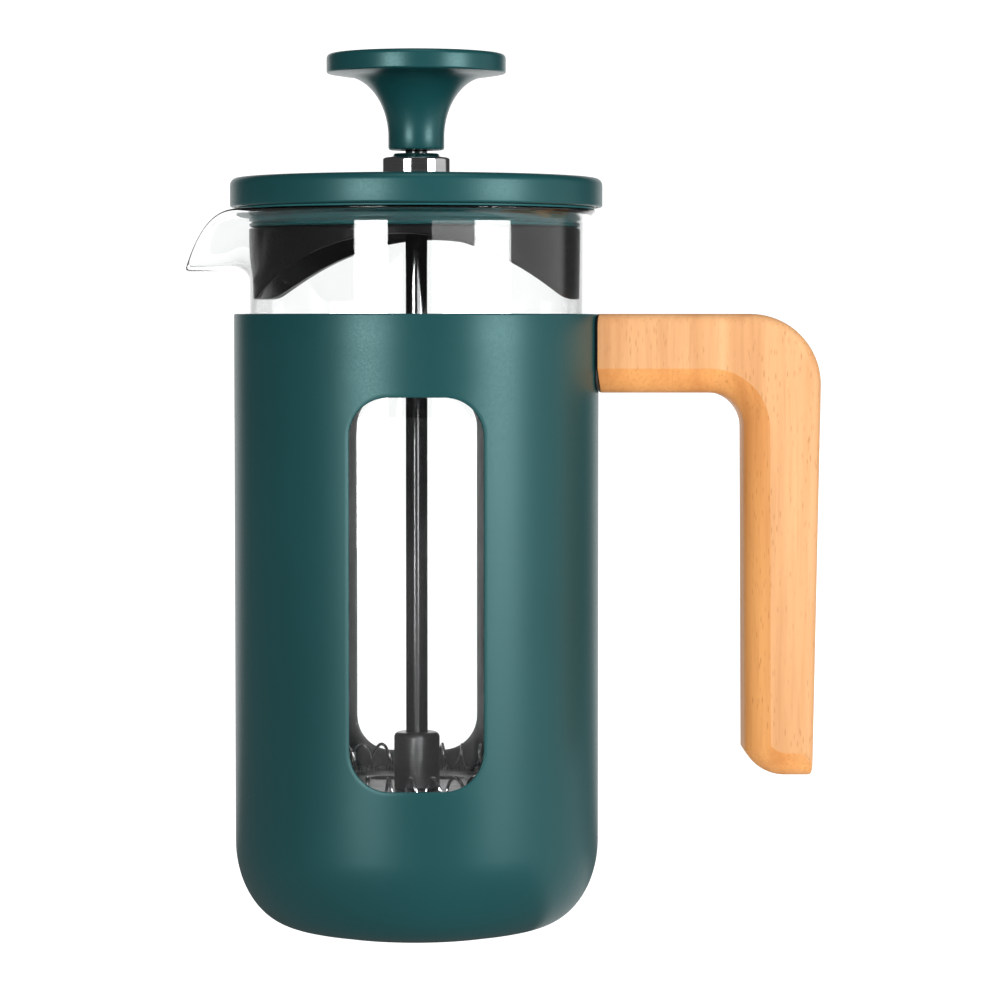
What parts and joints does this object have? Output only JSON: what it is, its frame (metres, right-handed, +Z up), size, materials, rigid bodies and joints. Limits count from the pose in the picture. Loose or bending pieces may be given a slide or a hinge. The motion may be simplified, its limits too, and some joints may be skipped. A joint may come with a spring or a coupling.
{
  "type": "french press",
  "caption": "Small press pot: a glass beaker with a spout in a painted steel housing with windows and a wooden handle, a turning lid, and a plunger with a sprung mesh filter.",
  "frame": {"origin": "on the beaker's axis, on the surface that the press stands on", "axes": "+Z up along the plunger; +X towards the handle, so the spout points along -X; +Y away from the viewer who sees the handle on the right"},
  "size_m": [0.1301, 0.0764, 0.18],
  "materials": {
    "green_paint": "satin",
    "green_plastic": "satin",
    "green_silicone": "smooth",
    "beech": "oiled",
    "glass": "clear",
    "black_plastic": "satin",
    "steel": "satin",
    "chrome": "polished",
    "brass": "machined",
    "rubber": "matte",
    "silicone": "matte"
  },
  "bodies": {
    "housing": {"foot_pad": "rubber", "housing_shell": "green_paint", "beaker_seat": "silicone", "centring_ring": "silicone", "handle": "beech", "handle_pad": "rubber", "handle_screw_lower": "steel", "handle_screw_upper": "steel", "handle_insert_lower": "brass", "handle_insert_upper": "brass"},
    "beaker": {"glass_beaker": "glass"},
    "seal": {"lid_seal": "green_silicone"},
    "lid": {"lid_cap": "green_paint", "lid_insert": "black_plastic", "lid_bush": "chrome", "lid_nut": "steel"},
    "plunger": {"knob": "green_plastic", "knob_insert": "brass", "plunger_rod": "steel", "filter_hub": "steel", "spring_plate": "steel", "filter_spring": "steel", "filter_mesh": "steel", "cross_plate": "steel", "filter_nut": "steel"}
  },
  "joints": [
    {"name": "beaker_lift", "type": "slide", "parent": "housing", "child": "beaker", "axis": [0, 0, 1], "range_m": [0, 0.125]},
    {"name": "lid_lift", "type": "slide", "parent": "beaker", "child": "seal", "axis": [0, 0, 1], "range_m": [0, 0.13]},
    {"name": "lid_turn", "type": "hinge", "parent": "seal", "child": "lid", "pos_m": [0, 0, 0.146], "axis": [0, 0, 1], "continuous": true},
    {"name": "plunger_slide", "type": "slide", "parent": "lid", "child": "plunger", "axis": [0, 0, 1], "range_m": [0, 0.0945]}
  ]
}
